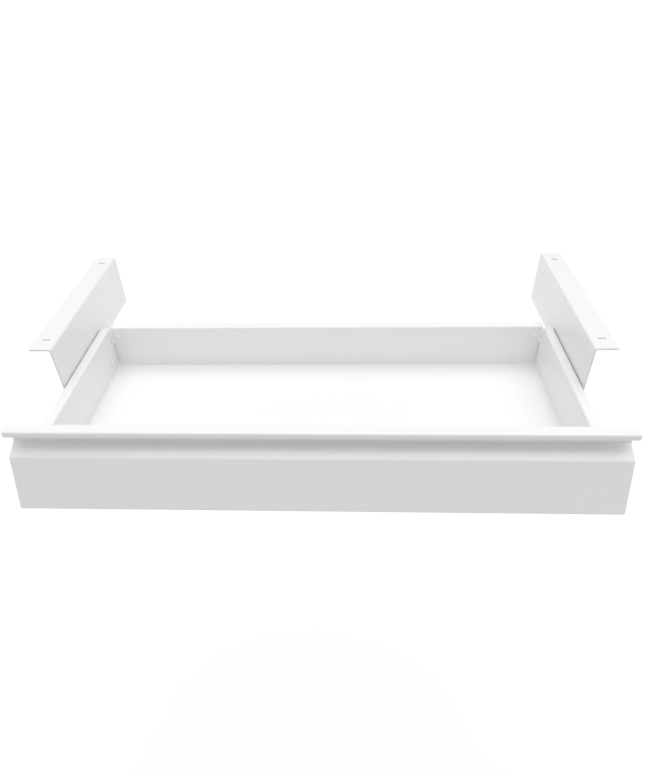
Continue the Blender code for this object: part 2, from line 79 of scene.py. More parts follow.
rim_top = back_high[2]
floor_top = tray_low[2] + SHEET
wall_inner = tray_high[0] - RIM_WIDTH
back_inner = back_high[1] - BACK_RIM_WIDTH
print("tray inside, mm:", round(2000 * wall_inner), "by", round(1000 * (back_inner - tray_low[1])),
      "by", round(1000 * (rim_top - floor_top)))

# %% [markdown]
# ## Working as by hand
# A folded sheet is drawn the way a press brake makes it: a flat blank first, then one flange after
# another pulled from its edges. The folds are rounded next, and the metal gets its thickness last.
# Edges and corners are found by their place, because there is no mouse to click on them.

# %% Pick pieces up and put them down
NEAR = 2e-5                   # two points closer than this are the same place


def fresh_start():
    """Leave edit mode and let go of everything."""
    if bpy.context.object and bpy.context.object.mode != "OBJECT":
        bpy.ops.object.mode_set(mode="OBJECT")
    bpy.ops.object.select_all(action="DESELECT")


def take(piece):
    """Make one piece the only selected and active one."""
    fresh_start()
    piece.select_set(True)
    bpy.context.view_layer.objects.active = piece
    return piece


def set_place(piece):
    """Move the piece's place, turn and size into its mesh."""
    take(piece)
    bpy.ops.object.transform_apply(location=True, rotation=True, scale=True)
    return piece


print("points within", round(1000 * NEAR, 3), "mm count as one")

# %% [markdown]
# In edit mode, a test is put to every corner of every edge or face, and those whose corners all
# pass are selected. The commonest test is a place: the same x, y or z for all corners.

# %% Select by place
def choose(piece, where, kind="EDGE"):
    """In edit mode, select the vertices, edges or faces whose corners all pass the test."""
    take(piece)
    bpy.ops.object.mode_set(mode="EDIT")
    bpy.ops.mesh.select_mode(type=kind)
    bpy.ops.mesh.select_all(action="DESELECT")
    shape = bmesh.from_edit_mesh(piece.data)
    for part in {"VERT": shape.verts, "EDGE": shape.edges, "FACE": shape.faces}[kind]:
        corners = [part.co] if kind == "VERT" else [v.co for v in part.verts]
        if all(where(c) for c in corners):
            part.select_set(True)
    bmesh.update_edit_mesh(piece.data)


def at(x=None, y=None, z=None):
    """A test that a corner lies at the given coordinates; None means anywhere."""
    def test(corner):
        return all(want is None or abs(corner[i] - want) < NEAR for i, want in enumerate((x, y, z)))
    return test


UPRIGHT_Y = (math.pi / 2, 0, 0)       # turns a blank to face -Y
UPRIGHT_X = (0, math.pi / 2, 0)       # turns a blank to face +X
print("a blank faces up, or is turned by", UPRIGHT_Y, "or", UPRIGHT_X)

# %% [markdown]
# The press brake's steps are next: a blank, flanges pulled from its edges, folds and corners. The
# offset of a bevel is measured along the sheet, so a fold's radius is turned into it by its angle.

# %% Blank, flanges, folds and corners
FOLD_STEPS = 6
CORNER_STEPS = 8


def flat_blank(name, centre, size, turn=(0, 0, 0)):
    """A rectangular blank; it faces up before it is turned."""
    fresh_start()
    bpy.ops.mesh.primitive_plane_add(size=1, location=centre, rotation=turn)
    piece = bpy.context.object
    piece.name = name
    piece.scale = (*size, 1)
    return set_place(piece)


def pull(piece, where, *moves):
    """Extrude the chosen edge through one move after another."""
    choose(piece, where)
    for move in moves:
        bpy.ops.mesh.extrude_region_move(TRANSFORM_OT_translate={"value": move})
    bpy.ops.object.mode_set(mode="OBJECT")


def fold(piece, where, radius, segments=FOLD_STEPS):
    """Round a fold to a radius on the side that the sheet is drawn on."""
    choose(piece, where)
    shape = bmesh.from_edit_mesh(piece.data)
    angle = max(e.calc_face_angle(0) for e in shape.edges if e.select)
    bpy.ops.mesh.bevel(offset=radius * math.tan(angle / 2), segments=segments, affect="EDGES")
    bpy.ops.object.mode_set(mode="OBJECT")


def round_corner(piece, where, radius, segments=CORNER_STEPS):
    """Round a corner of the blank."""
    choose(piece, where, "VERT")
    bpy.ops.mesh.bevel(offset=radius, segments=segments, affect="VERTICES")
    bpy.ops.object.mode_set(mode="OBJECT")


print("steps in a fold:", FOLD_STEPS, "and in a corner:", CORNER_STEPS)

# %% [markdown]
# The rest is done with modifiers, each applied at once. Solidify gives the metal its thickness,
# Boolean drills and joins, and Bevel rounds the cut edges as a powder coat does. Flat faces are
# made whole after a Boolean, and points that fell together are merged, so every mesh stays closed.

# %% Thickness, cuts and soft edges
EDGE_ANGLE = math.radians(40)         # a sharper turn than this is an edge to round
SMOOTH_ANGLE = math.radians(35)       # a gentler one is shaded smooth
FLAT_ANGLE = math.radians(0.5)        # faces that turn less than this are one flat face


def use(piece, kind, **settings):
    """Add a modifier with its settings and apply it."""
    take(piece)
    modifier = piece.modifiers.new(kind, kind)
    for key, value in settings.items():
        setattr(modifier, key, value)
    bpy.ops.object.modifier_apply(modifier=modifier.name)
    return piece


def thicken(piece, thickness, facing):
    """Give the sheet its thickness, away from the side that faces the given way."""
    take(piece)
    bpy.ops.object.mode_set(mode="EDIT")
    bpy.ops.mesh.select_all(action="SELECT")
    bpy.ops.mesh.normals_make_consistent(inside=False)
    shape = bmesh.from_edit_mesh(piece.data)
    widest = max(shape.faces, key=lambda f: f.calc_area() * abs(f.normal.dot(Vector(facing))))
    if widest.normal.dot(Vector(facing)) < 0:
        bpy.ops.mesh.flip_normals()
    bpy.ops.object.mode_set(mode="OBJECT")
    return use(piece, "SOLIDIFY", thickness=thickness, offset=-1.0, use_even_offset=True,
               use_quality_normals=True)


def cut(piece, cutters):
    """Take the cutters out of the piece and throw them away."""
    for cutter in cutters:
        use(piece, "BOOLEAN", object=cutter, operation="DIFFERENCE", solver="EXACT")
        bpy.data.objects.remove(cutter, do_unlink=True)
    return piece


def tidy_mesh(piece):
    """Merge points that fell together and make flat faces whole again."""
    choose(piece, at(), "FACE")
    bpy.ops.mesh.remove_doubles(threshold=NEAR / 4)
    bpy.ops.mesh.dissolve_limited(angle_limit=FLAT_ANGLE)
    bpy.ops.object.mode_set(mode="OBJECT")
    return piece


def soften(piece, width=PAINT_EDGE):
    """Round the sharp edges a little and shade the rest smooth."""
    use(piece, "BEVEL", width=width, segments=2, limit_method="ANGLE", angle_limit=EDGE_ANGLE,
        use_clamp_overlap=True, harden_normals=False)
    tidy_mesh(piece)
    take(piece)
    bpy.ops.object.shade_smooth_by_angle(angle=SMOOTH_ANGLE)
    return use(piece, "WEIGHTED_NORMAL", mode="FACE_AREA", weight=100, keep_sharp=True)


def join(first, *others):
    """Make several meshes one piece, named as the first."""
    take(first)
    for other in others:
        other.select_set(True)
    bpy.ops.object.join()
    return first


def drill_bit(centre, radius, length, axis, sides=32):
    """A cylinder that cuts a round hole along an axis."""
    fresh_start()
    bpy.ops.mesh.primitive_cylinder_add(vertices=sides, radius=radius, depth=length,
                                        location=centre,
                                        rotation=UPRIGHT_X if axis == "X" else UPRIGHT_Y)
    return set_place(bpy.context.object)


print("edges sharper than", round(math.degrees(EDGE_ANGLE)), "degrees are rounded by",
      round(1000 * PAINT_EDGE, 2), "mm")

# %% [markdown]
# Each finished piece is named for the solid it stands for and rides on that solid's body.

# %% Finish a piece
pieces = {}                   # every finished piece, by the solid it stands for


def middle(node_name):
    """The middle of a solid's box."""
    low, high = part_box(node_name)
    return (low + high) / 2


def coat(piece, material):
    """Give the whole piece one finish."""
    piece.data.materials.clear()
    piece.data.materials.append(material)
    return piece


def finish_piece(piece, body, node_name):
    """Say what the piece rides on and which solid it stands for."""
    piece.name = f"{node_name}_dressed"
    piece.data.name = piece.name
    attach(piece, body)
    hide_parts(node_name)
    pieces[node_name] = piece
    print(f"{node_name}: {len(piece.data.polygons)} faces")


print("pieces to make:", len(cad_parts))

# %% [markdown]
# ## Finishes
# Every finish is a small node tree that reads Object coordinates, so its grain keeps its real size
# whatever the piece. One function turns a hex colour into linear light and one adds a node.

# %% Colour and node helpers
MILLIMETRE = 0.001
LEAST_GRAIN, MOST_GRAIN = 0.05, 0.95    # the noise hardly ever goes past these


def linear(code):
    """An sRGB hex colour as linear light with an alpha of one."""
    channels = [int(code[i:i + 2], 16) / 255 for i in (1, 3, 5)]
    return [c / 12.92 if c <= 0.04045 else ((c + 0.055) / 1.055) ** 2.4 for c in channels] + [1.0]


def node(tree, kind, sockets, **settings):
    """Add a node, set its options, and fill its sockets with values or links."""
    made = tree.nodes.new(kind)
    for key, value in settings.items():
        setattr(made, key, value)
    for key, value in sockets.items():
        if isinstance(value, bpy.types.NodeSocket):
            tree.links.new(value, made.inputs[key])
        else:
            made.inputs[key].default_value = value
    return made


def new_finish(name, **constants):
    """A material whose shader sockets are set to constants, given as words joined by _."""
    material = bpy.data.materials.new(name)
    material.use_nodes = True
    shader = material.node_tree.nodes["Principled BSDF"]
    for key, value in constants.items():
        shader.inputs[key.replace("_", " ")].default_value = value
    return material, material.node_tree, shader


def grain(tree, size, detail=2.0, stretch=(1, 1, 1)):
    """Noise whose lumps are about the given size, on Object coordinates."""
    place = node(tree, "ShaderNodeTexCoord", {})
    scaled = node(tree, "ShaderNodeMapping", {"Vector": place.outputs["Object"], "Scale": stretch})
    return node(tree, "ShaderNodeTexNoise", {"Vector": scaled.outputs["Vector"], "Scale": 1 / size,
                                             "Detail": detail, "Roughness": 0.5})


def between(tree, shader, socket, pattern, low, high):
    """Let a number of the shader wander between two values with a pattern."""
    spread = node(tree, "ShaderNodeMapRange",
                  {"Value": pattern.outputs["Fac"], "From Min": LEAST_GRAIN, "From Max": MOST_GRAIN,
                   "To Min": low, "To Max": high})
    tree.links.new(spread.outputs["Result"], shader.inputs[socket])


def tint(tree, shader, pattern, dark, light):
    """Let the colour wander between two hex colours with a pattern."""
    ramp = node(tree, "ShaderNodeValToRGB", {"Fac": pattern.outputs["Fac"]})
    ramp.color_ramp.elements[0].position = LEAST_GRAIN
    ramp.color_ramp.elements[0].color = linear(dark)
    ramp.color_ramp.elements[1].position = MOST_GRAIN
    ramp.color_ramp.elements[1].color = linear(light)
    tree.links.new(ramp.outputs["Color"], shader.inputs["Base Color"])


def emboss(tree, shader, pattern, depth, strength=1.0):
    """Raise and sink the surface with a pattern, by a real depth."""
    bump = node(tree, "ShaderNodeBump", {"Height": pattern.outputs["Fac"], "Distance": depth,
                                         "Strength": strength})
    tree.links.new(bump.outputs["Normal"], shader.inputs["Normal"])


print("mid grey in linear light:", [round(c, 3) for c in linear("#808080")])

# %% [markdown]
# ### White powder coat
# The sheet steel is sprayed with dry polyester powder and baked. The film flows into a satin skin
# with a fine orange peel, lumps of about a millimetre and only a few micrometres high, and it
# gathers a little thicker in some places, which moves its gloss and its white slightly. Polyester
# has an IOR of about 1.5. The real peel is too fine to show, so it is drawn a little deeper.

# %% White powder coat
PEEL = 1.6 * MILLIMETRE
PEEL_DEPTH = 0.012 * MILLIMETRE
FILM_PATCH = 150 * MILLIMETRE

powder_coat, tree, shader = new_finish("white_powder_coated_steel", IOR=1.5, Specular_IOR_Level=0.5)
film = grain(tree, FILM_PATCH, detail=0.0)
tint(tree, shader, film, "#F8F8F8", "#FAFAFA")
between(tree, shader, "Roughness", film, 0.24, 0.28)
emboss(tree, shader, grain(tree, PEEL), PEEL_DEPTH)
print("finish:", powder_coat.name)

# %% [markdown]
# ### Zinc plate and bright balls
# The slide members are cold-rolled strip, which keeps faint lines along its length under its zinc.
# The screws, rivets and ball cages are steel with a clear zinc plate too: a bluish silver that is
# patchy under a lens. The balls are hardened and polished, so they are almost a mirror.

# %% Metal finishes
strip_steel, tree, shader = new_finish("zinc_plated_strip_steel", Metallic=1.0)
rolling = grain(tree, 0.5 * MILLIMETRE, detail=3.0, stretch=(1, 0.04, 1))
tint(tree, shader, rolling, "#BDC0C4", "#D3D5D7")
between(tree, shader, "Roughness", rolling, 0.26, 0.4)
emboss(tree, shader, rolling, 0.004 * MILLIMETRE)

zinc_plate, tree, shader = new_finish("zinc_plated_steel", Metallic=1.0)
patches = grain(tree, 1.2 * MILLIMETRE, detail=5.0)
tint(tree, shader, patches, "#AEB2B8", "#CFD2D4")
between(tree, shader, "Roughness", patches, 0.22, 0.38)
emboss(tree, shader, grain(tree, 0.4 * MILLIMETRE), 0.006 * MILLIMETRE)

ball_steel, tree, shader = new_finish("polished_ball_steel", Metallic=1.0)
haze = grain(tree, 1.0 * MILLIMETRE)
tint(tree, shader, haze, "#C4C6C9", "#D8DADC")
between(tree, shader, "Roughness", haze, 0.06, 0.12)
print("finishes:", strip_steel.name, zinc_plate.name, ball_steel.name)

# %% [markdown]
# ### Nylon and rubber
# The slide's end caps are moulded nylon, black, with the faint texture of a spark-eroded mould.
# The closing stops are moulded rubber: dark grey, dull, and slightly dusty with bloom.

# %% Nylon and rubber
nylon, tree, shader = new_finish("black_moulded_nylon", IOR=1.53)
mould = grain(tree, 0.7 * MILLIMETRE, detail=3.0)
tint(tree, shader, mould, "#141415", "#1E1E1F")
between(tree, shader, "Roughness", mould, 0.45, 0.6)
emboss(tree, shader, mould, 0.02 * MILLIMETRE)

rubber, tree, shader = new_finish("moulded_grey_rubber", IOR=1.52)
bloom = grain(tree, 2.0 * MILLIMETRE, detail=4.0)
tint(tree, shader, bloom, "#3A3A3B", "#4B4B4A")
between(tree, shader, "Roughness", bloom, 0.7, 0.9)
emboss(tree, shader, bloom, 0.02 * MILLIMETRE)
print("finishes:", nylon.name, rubber.name)

# %% [markdown]
# ## Front panel
# The front is one sheet, as wide as the drawer: a lip with a turned-down edge to pull by, the
# upright back of the finger recess, a sloping ledge, the tall face that leans out at its foot, and
# a strip turned back under it. It could be swept from an outline, but pulling flanges from a blank
# gives each fold its own radius, as on the press brake.

# %% The panel's folds
lip_top = panel_high[2]
panel_back = panel_high[1]
recess = panel_back - SHEET
lip_front = panel_back - LIP_DEPTH
face_top = Vector((0, lip_front - LIP_SETBACK, lip_top - PULL_HEIGHT))
face_foot = Vector((0, face_top.y - FACE_LEAN, panel_low[2]))
ledge_back = Vector((0, recess, face_top.z + LEDGE_RISE))
under_lip = lip_top - SHEET

panel = flat_blank("front", (0, recess, (under_lip + ledge_back.z) / 2),
                   (2 * panel_high[0], under_lip - ledge_back.z), turn=UPRIGHT_Y)
pull(panel, at(z=under_lip), (0, lip_front + SHEET - recess, 0), (0, 0, SHEET - LIP_TURN_DOWN))
pull(panel, at(z=ledge_back.z), face_top - ledge_back, face_foot - face_top, (0, FOOT_RETURN, 0))
for inner_fold in (at(y=lip_front + SHEET, z=under_lip), at(y=recess, z=under_lip),
                   at(y=recess, z=ledge_back.z)):
    fold(panel, inner_fold, SHEET_BEND)
for outer_fold in (face_top, face_foot):
    fold(panel, at(y=outer_fold.y, z=outer_fold.z), SHEET_BEND + SHEET)
thicken(panel, SHEET, (0, -1, 0))
print("front panel folds:", len(panel.data.polygons), "faces")

# %% [markdown]
# The threaded holes for the panel screws go only part of the way in from the back, so the finger
# recess stays plain. The screws themselves say where they are.

# %% The panel's blind holes
SCREW_RADIUS = 0.0020
SCREW_HEAD_RADIUS = 0.0038
SCREW_HEAD_HEIGHT = 0.0022
FIT = 0.0003
BLIND_DEPTH = 0.0008
PANEL_SCREWS = [f"panel_screw_{i}" for i in range(1, 5)]

bits = []
for screw in PANEL_SCREWS:
    spot = middle(screw)
    spot.y = panel_back
    bits.append(drill_bit(spot, SCREW_RADIUS + FIT, 2 * BLIND_DEPTH, "Y"))
cut(panel, bits)
coat(soften(panel), powder_coat)
finish_piece(panel, "drawer", "front_panel")

# %% [markdown]
# ## End plates
# A small plate is welded behind each end of the face and closes its hollow from the side. It is a
# flat plate of four corners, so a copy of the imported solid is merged, its loose triangles are
# dissolved into flat faces, and its cut edges get the same soft film as the folded sheet.

# %% End plates
SIDES = {"left": -1, "right": 1}


def merged_copy(node_name):
    """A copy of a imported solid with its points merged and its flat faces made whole."""
    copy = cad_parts[node_name].copy()
    copy.data = copy.data.copy()
    copy.parent = None
    bpy.context.collection.objects.link(copy)
    return tidy_mesh(copy)


for word in SIDES:
    plate = coat(soften(merged_copy(f"{word}_panel_end_plate")), powder_coat)
    finish_piece(plate, "drawer", f"{word}_panel_end_plate")

# %% [markdown]
# ## Drawer tray
# The floor and the two side walls are one sheet. The walls rise from the floor in wide bends, and
# their tops turn outwards into rims. The blank is the floor; each wall and rim is pulled from it.

# %% Floor, side walls and rims
tray_front = tray_low[1]
tab_face = back_inner - FIT - SHEET
side_end = max(v.co.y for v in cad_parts["drawer_tray"].data.vertices
               if abs(v.co.z - rim_top) < NEAR)

tray = flat_blank("tray", (0, (tray_front + side_end) / 2, floor_top),
                  (2 * wall_inner, side_end - tray_front))
for side in SIDES.values():
    pull(tray, at(x=side * wall_inner, z=floor_top), (0, 0, rim_top - floor_top),
         (side * RIM_WIDTH, 0, 0))
for side in SIDES.values():
    fold(tray, at(x=side * wall_inner, z=floor_top), FLOOR_BEND, segments=8)
    fold(tray, at(x=side * wall_inner, z=rim_top), SHEET_BEND + SHEET)
thicken(tray, SHEET, (0, 0, 1))
print("tray sheet:", len(tray.data.polygons), "faces")

# %% [markdown]
# The front wall is a plate between the side walls, welded all round, and it stands close behind the
# panel. Two tabs at the rear corners are folded in from the side walls, and their free corners are
# rounded so that they don't scratch. Both kinds are made apart and then united with the tray.

# %% Front wall and corner tabs
TAB_WIDTH = 0.0150
TAB_HEIGHT = 0.0130
TAB_DROP = 0.0055
TAB_CORNER = 0.0040
TAB_ROOT = 0.0060
UPSTAND_DROP = 0.0060


def unite(piece, others):
    """Merge other meshes into the piece as one closed body."""
    for other in others:
        use(piece, "BOOLEAN", object=other, operation="UNION", solver="EXACT")
        bpy.data.objects.remove(other, do_unlink=True)
    return tidy_mesh(piece)


half_wall = wall_inner + SHEET / 2
plate_low = tray_low[2] + SHEET / 2
plate_high = lip_top - UPSTAND_DROP
front_wall = flat_blank("front_wall", (0, tray_front + SHEET, (plate_low + plate_high) / 2),
                        (2 * half_wall, plate_high - plate_low), turn=UPRIGHT_Y)
for side in SIDES.values():
    round_corner(front_wall, at(x=side * half_wall, z=plate_low), FLOOR_BEND + SHEET / 2)
thicken(front_wall, SHEET, (0, 1, 0))

tabs = []
tab_top = rim_top - TAB_DROP
for side in SIDES.values():
    free_edge = side * (wall_inner - TAB_WIDTH)
    tab = flat_blank("tab", (side * (wall_inner - TAB_WIDTH / 2), tab_face,
                             tab_top - TAB_HEIGHT / 2), (TAB_WIDTH, TAB_HEIGHT), turn=UPRIGHT_Y)
    for height in (tab_top, tab_top - TAB_HEIGHT):
        round_corner(tab, at(x=free_edge, z=height), TAB_CORNER)
    pull(tab, at(x=side * wall_inner), (0, side_end - TAB_ROOT - tab_face, 0))
    fold(tab, at(x=side * wall_inner, y=tab_face), SHEET_BEND)
    tabs.append(thicken(tab, SHEET, (0, -1, 0)))
unite(tray, [front_wall, *tabs])
print("tray with front wall and tabs:", len(tray.data.polygons), "faces")

# %% [markdown]
# The fixings sit in round holes. Each hole is drilled where its screw or rivet is, a little wider
# than the shank, so the two meshes never touch. The slide's rivets are blind: their holes stop
# short of the inner face, and the inside of the tray stays smooth.

# %% The tray's holes
RIVET_RADIUS = 0.0016
RIVET_HEAD_RADIUS = 0.0028
RIVET_HEAD_HEIGHT = 0.0008
CORNER_RIVET_HEAD_RADIUS = 0.0034
CORNER_RIVET_HEAD_HEIGHT = 0.0014


def bits_at(fixings, radius, axis, through, length=4 * SHEET):
    """Drill bits at the fixings' places, centred on a plane across the axis."""
    made = []
    for fixing in fixings:
        spot = middle(fixing)
        if axis == "X":
            spot.x = math.copysign(through, spot.x)
        else:
            spot.y = through
        made.append(drill_bit(spot, radius + FIT, length, axis, sides=24))
    return made


SLIDE_RIVETS = [f"{word}_slide_rivet_{i}" for word in SIDES for i in (1, 2, 3)]
EAR_SCREWS = [f"{word}_back_wall_screw" for word in SIDES]
CORNER_RIVETS = [f"{word}_corner_rivet" for word in SIDES]

cut(tray, bits_at(SLIDE_RIVETS, RIVET_RADIUS, "X", wall_inner + SHEET, 2 * BLIND_DEPTH))
cut(tray, bits_at(EAR_SCREWS, SCREW_RADIUS, "X", wall_inner + SHEET / 2))
cut(tray, bits_at(PANEL_SCREWS, SCREW_RADIUS, "Y", tray_front + SHEET / 2))
cut(tray, bits_at(CORNER_RIVETS, RIVET_RADIUS, "Y", tab_face + SHEET / 2))
coat(soften(tray), powder_coat)
finish_piece(tray, "drawer", "drawer_tray")

# %% [markdown]
# ## Back wall
# The back wall is a separate sheet. Its top is turned backwards into a rim level with the side
# rims, and at each end an ear wraps forward round the outside of the tray, where a screw holds it.
# The blank is cut across at the ears' heights, so that each ear is pulled from its own edge.

# %% Back wall
EAR_LENGTH = 0.0310
EAR_HEIGHT = 0.0320
EAR_DROP = 0.0233

back_wall = flat_blank("back", (0, back_inner, (rim_top + back_low[2]) / 2),
                       (2 * wall_inner, rim_top - back_low[2]), turn=UPRIGHT_Y)
ear_face = wall_inner + SHEET + FIT
ear_top = rim_top - EAR_DROP
ear_foot = ear_top - EAR_HEIGHT
for height in (ear_top, ear_foot):
    choose(back_wall, at(), "FACE")
    bpy.ops.mesh.bisect(plane_co=(0, back_inner, height), plane_no=(0, 0, 1))
    bpy.ops.object.mode_set(mode="OBJECT")
pull(back_wall, at(z=rim_top), (0, BACK_RIM_WIDTH, 0))
fold(back_wall, at(y=back_inner, z=rim_top), SHEET_BEND + SHEET)
for side in SIDES.values():
    pull(back_wall, lambda c: abs(c.x - side * wall_inner) < NEAR
         and ear_foot - NEAR < c.z < ear_top + NEAR,
         (side * (ear_face - wall_inner), 0, 0), (0, -EAR_LENGTH, 0))
    fold(back_wall, at(x=side * ear_face, y=back_inner), FIT, segments=3)
    for height in (ear_top, ear_foot):
        round_corner(back_wall, at(x=side * ear_face, y=back_inner - EAR_LENGTH, z=height),
                     TAB_CORNER)
thicken(back_wall, SHEET, (0, -1, 0))
cut(back_wall, bits_at(EAR_SCREWS, SCREW_RADIUS, "X", ear_face + SHEET / 2))
cut(back_wall, bits_at(CORNER_RIVETS, RIVET_RADIUS, "Y", back_inner + SHEET / 2))
coat(soften(back_wall), powder_coat)
finish_piece(back_wall, "drawer", "back_wall")

# %% [markdown]
# ## Mounting rails
# Each rail is an angle of thicker sheet. Its flange lies flat under the desk, with two slots for
# wood screws, and its web hangs down and carries the slide. The rear outer corner of the flange is
# rounded generously and the front one hardly at all.

# %% Mounting rails
RAIL_CORNER = 0.0080
RAIL_FRONT_CORNER = 0.0010
SLOT_LENGTH = 0.0090
SLOT_WIDTH = 0.0038
SLOT_INSET = 0.0123
SLOT_FROM_END = 0.0182
NEARLY_ROUND = 0.98           # a slot's corners stop just short of meeting


def slot_cutter(x, y):
    """A stadium-shaped punch through the flange, long across the rail."""
    punch = flat_blank("punch", (x, y, -RAIL_SHEET / 2), (SLOT_LENGTH, SLOT_WIDTH))
    for corner_x in (x - SLOT_LENGTH / 2, x + SLOT_LENGTH / 2):
        for corner_y in (y - SLOT_WIDTH / 2, y + SLOT_WIDTH / 2):
            round_corner(punch, at(x=corner_x, y=corner_y), NEARLY_ROUND * SLOT_WIDTH / 2,
                         segments=6)
    return use(punch, "SOLIDIFY", thickness=3 * RAIL_SHEET, offset=0)


for word, side in SIDES.items():
    low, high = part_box(f"{word}_mounting_rail")
    web, outer = (high[0], low[0]) if side < 0 else (low[0], high[0])
    rail = flat_blank(f"{word}_rail", (web, *((low + high) / 2)[1:]),
                      (high[2] - low[2], high[1] - low[1]), turn=UPRIGHT_X)
    pull(rail, at(z=high[2]), (outer - web, 0, 0))
    fold(rail, at(x=web, z=high[2]), RAIL_BEND + RAIL_SHEET)
    round_corner(rail, at(x=outer, y=high[1]), RAIL_CORNER)
    round_corner(rail, at(x=outer, y=low[1]), RAIL_FRONT_CORNER, segments=3)
    thicken(rail, RAIL_SHEET, (-side, 0, 0))
    cut(rail, [slot_cutter(web + side * SLOT_INSET, y)
               for y in (low[1] + SLOT_FROM_END, high[1] - SLOT_FROM_END)])
    rail_screws = [f"{word}_rail_screw_{i}" for i in (1, 2, 3)]
    cut(rail, bits_at(rail_screws, SCREW_RADIUS, "X", abs(web) + RAIL_SHEET / 2))
    coat(soften(rail), powder_coat)
    finish_piece(rail, "rails", f"{word}_mounting_rail")

# %% [markdown]
# ## Ball slides
# A short slide joins each rail to the tray. Its fixed member is a channel with hooked edges, its
# moving member is a narrower channel that faces the other way, and a cage with two rows of balls
# rolls between them. All three are strip, folded the same way as the sheet.

# %% Slide members
SLIDE_SHEET = 0.0010
STRIP_BEND = 0.0006
HOOK = 0.0010
STRIP_EDGE = 0.0001           # how far the strip's cut edges are rounded

for word, side in SIDES.items():
    low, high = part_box(f"{word}_slide_outer_member")
    back_x, tip_x = (low[0], high[0]) if side < 0 else (high[0], low[0])
    inset = side * SLIDE_SHEET
    inner_top, inner_low = high[2] - SLIDE_SHEET, low[2] + SLIDE_SHEET
    outer_member = flat_blank("outer", (back_x - inset, *((low + high) / 2)[1:]),
                              (inner_top - inner_low, high[1] - low[1]), turn=UPRIGHT_X)
    for edge_z, hook_way in ((inner_top, -1), (inner_low, 1)):
            pull(outer_member, at(x=back_x - inset, z=edge_z), (tip_x - back_x + 2 * inset, 0, 0),
             (0, 0, hook_way * HOOK))
    for edge_z in (inner_top, inner_low):
        fold(outer_member, at(x=back_x - inset, z=edge_z), STRIP_BEND, segments=4)
        fold(outer_member, at(x=tip_x + inset, z=edge_z), STRIP_BEND, segments=4)
    thicken(outer_member, SLIDE_SHEET, (-side, 0, 0))
    cut(outer_member, bits_at([f"{word}_rail_screw_{i}" for i in (1, 2, 3)], SCREW_RADIUS, "X",
                              abs(back_x) - SLIDE_SHEET / 2))
    coat(soften(outer_member, width=STRIP_EDGE), strip_steel)
    finish_piece(outer_member, "rails", f"{word}_slide_outer_member")

    low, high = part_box(f"{word}_slide_inner_member")
    face_x, tip_x = (high[0], low[0]) if side < 0 else (low[0], high[0])
    inner_member = flat_blank("inner", (face_x, *((low + high) / 2)[1:]),
                              (high[2] - low[2], high[1] - low[1]), turn=UPRIGHT_X)
    for edge_z in (high[2], low[2]):
        pull(inner_member, at(x=face_x, z=edge_z), (tip_x - face_x, 0, 0))
    for edge_z in (high[2], low[2]):
        fold(inner_member, at(x=face_x, z=edge_z), STRIP_BEND + SLIDE_SHEET, segments=4)
    thicken(inner_member, SLIDE_SHEET, (-side, 0, 0))
    cut(inner_member, bits_at([f"{word}_slide_rivet_{i}" for i in (1, 2, 3)], RIVET_RADIUS, "X",
                              abs(face_x) + SLIDE_SHEET / 2))
    coat(soften(inner_member, width=STRIP_EDGE), strip_steel)
    finish_piece(inner_member, "drawer", f"{word}_slide_inner_member")

# %% [markdown]
# The cage is a thin channel between the members. A ball is modelled once as a small sphere, then
# copied along both edges of the cage and united with it. Its faces keep their own bright finish.

# %% Ball cages
CAGE_SHEET = 0.0008
CAGE_END = 0.0050
BALL_RADIUS = 0.0015
BALLS_PER_ROW = 4

for word, side in SIDES.items():
    low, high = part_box(f"{word}_slide_ball_cage")
    spine_x, tip_x = (low[0], high[0]) if side < 0 else (high[0], low[0])
    ball_x = tip_x + side * BALL_RADIUS
    rise = BALL_RADIUS - CAGE_SHEET / 2
    top, bottom = high[2] - rise - CAGE_SHEET, low[2] + rise + CAGE_SHEET
    spine_face = spine_x - side * CAGE_SHEET
    cage = flat_blank("cage", (spine_face, *((low + high) / 2)[1:]),
                      (top - bottom, high[1] - low[1]), turn=UPRIGHT_X)
    for edge_z in (top, bottom):
        pull(cage, at(x=spine_face, z=edge_z), (tip_x - spine_face, 0, 0))
    for edge_z in (top, bottom):
        fold(cage, at(x=spine_face, z=edge_z), STRIP_BEND / 2, segments=3)
    thicken(cage, CAGE_SHEET, (-side, 0, 0))
    coat(cage, zinc_plate)

    fresh_start()
    bpy.ops.mesh.primitive_uv_sphere_add(segments=16, ring_count=10, radius=BALL_RADIUS)
    ball = coat(bpy.context.object, ball_steel)
    row_start, row_end = low[1] + CAGE_END, high[1] - CAGE_END
    balls = []
    for row_z in (high[2] - BALL_RADIUS, low[2] + BALL_RADIUS):
        for i in range(BALLS_PER_ROW):
            copy = ball.copy()
            copy.data = ball.data.copy()
            bpy.context.collection.objects.link(copy)
            along_row = i / (BALLS_PER_ROW - 1)
            copy.location = (ball_x, row_start + (row_end - row_start) * along_row, row_z)
            balls.append(copy)
    bpy.data.objects.remove(ball, do_unlink=True)
    unite(cage, [join(balls[0], *balls[1:])])
    take(cage)
    bpy.ops.object.shade_smooth_by_angle(angle=SMOOTH_ANGLE)
    finish_piece(cage, f"{word}_ball_cage_body", f"{word}_slide_ball_cage")

# %% [markdown]
# ## End caps
# A nylon cap closes the front of each moving member. It starts as a plain solid; its long edges are
# rounded, and its front is inset and sunk, as a moulding is hollowed to save plastic.

# %% End caps
CAP_EDGE = 0.0012
CAP_BORDER = 0.0014
CAP_SINK = 0.0006
CAP_SOFT_EDGE = 0.00015

